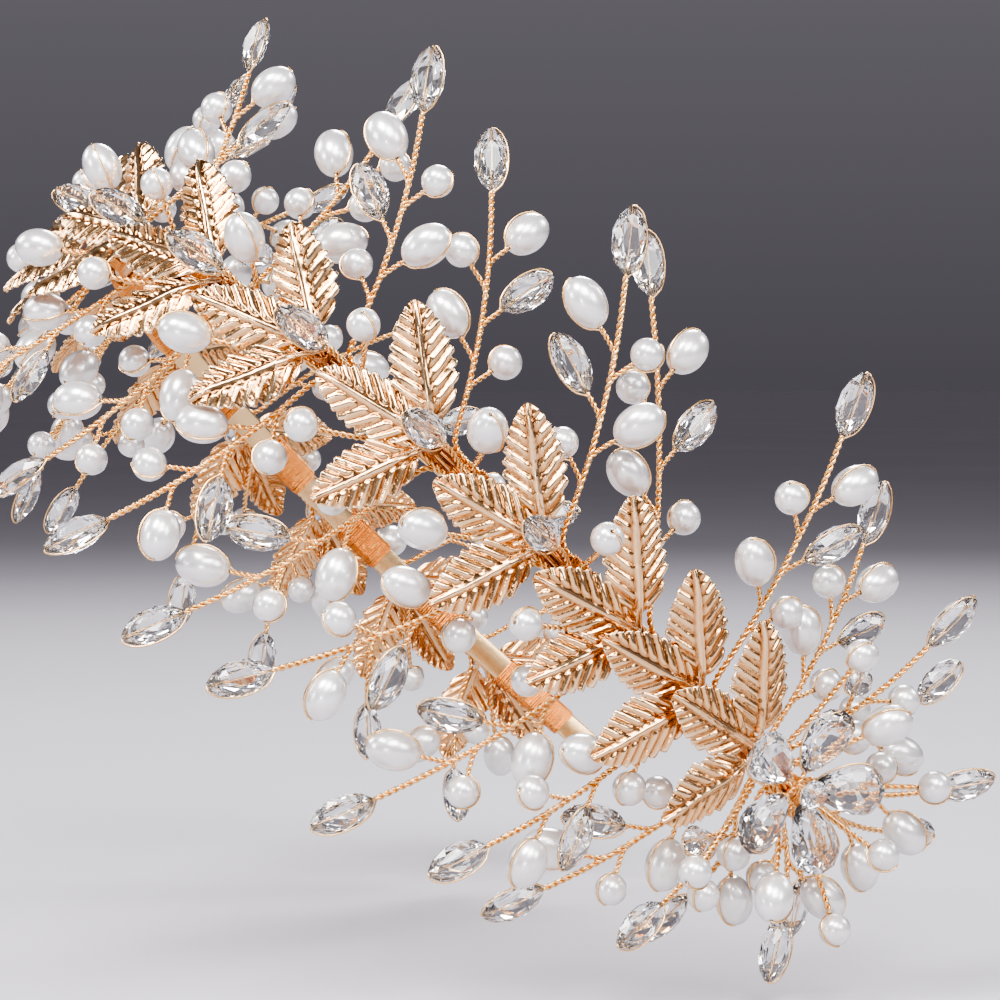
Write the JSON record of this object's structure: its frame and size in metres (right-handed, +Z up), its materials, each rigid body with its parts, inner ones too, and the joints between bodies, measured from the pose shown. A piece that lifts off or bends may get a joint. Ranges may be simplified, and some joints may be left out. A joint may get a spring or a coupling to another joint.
{
  "type": "bridal tiara",
  "caption": "Wired hair vine tiara: a sprung headband arch carrying sprigs of pearls and cut crystals, pressed leaves and a crystal flower at the left end; worn over the head.",
  "frame": {"origin": "centre of the arc over the forehead, in the middle of the head opening and of the band's width", "axes": "+Z up and -Y to the wearer's front as it is worn, +X to the wearer's left; the band's plane is tilted 43 degrees about X, high at the front"},
  "size_m": [0.1649, 0.1629, 0.149],
  "materials": {
    "gold_band": "polished gold plate over a sprung strip",
    "gold_wire": "bright rose-gold craft wire",
    "champagne_gold_leaf": "pale champagne-gold plate on pressed sheet",
    "pearl": "white imitation pearl with a soft lustre",
    "crystal": "clear cut glass"
  },
  "bodies": {
    "root": {"binding_wire": "gold_wire", "brilliant_crystals_left": "crystal", "flower_centre": "crystal", "flower_petal_1": "crystal", "flower_petal_2": "crystal", "flower_petal_3": "crystal", "flower_petal_4": "crystal", "flower_petal_5": "crystal", "flower_spray_wires_lower": "gold_wire", "flower_spray_wires_upper": "gold_wire", "flower_wires": "gold_wire", "headband": "gold_band", "leaf_trefoil_01": "champagne_gold_leaf", "leaf_trefoil_02": "champagne_gold_leaf", "leaf_trefoil_03": "champagne_gold_leaf", "leaf_trefoil_04": "champagne_gold_leaf", "leaf_trefoil_05": "champagne_gold_leaf", "leaf_trefoil_06": "champagne_gold_leaf", "leaf_trefoil_07": "champagne_gold_leaf", "leaf_trefoil_08": "champagne_gold_leaf", "leaf_trefoil_09": "champagne_gold_leaf", "leaf_trefoil_10": "champagne_gold_leaf", "leaf_trefoil_11": "champagne_gold_leaf", "leaf_trefoil_12": "champagne_gold_leaf", "leaf_trefoil_13": "champagne_gold_leaf", "leaf_trefoil_14": "champagne_gold_leaf", "leaf_trefoil_15": "champagne_gold_leaf", "leaf_trefoil_16": "champagne_gold_leaf", "navette_crystals_front": "crystal", "navette_crystals_left": "crystal", "navette_crystals_right": "crystal", "oval_pearls_front": "pearl", "oval_pearls_left": "pearl", "oval_pearls_right": "pearl", "round_pearls_front": "pearl", "round_pearls_left": "pearl", "round_pearls_right": "pearl", "sprig_wires_02": "gold_wire", "sprig_wires_03": "gold_wire", "sprig_wires_04": "gold_wire", "sprig_wires_05": "gold_wire", "sprig_wires_06": "gold_wire", "sprig_wires_07": "gold_wire", "sprig_wires_08": "gold_wire", "sprig_wires_09": "gold_wire", "sprig_wires_10": "gold_wire", "sprig_wires_11": "gold_wire", "sprig_wires_12": "gold_wire", "sprig_wires_13": "gold_wire", "sprig_wires_14": "gold_wire", "sprig_wires_15": "gold_wire", "sprig_wires_16": "gold_wire", "vine_core": "gold_wire"}
  },
  "joints": []
}
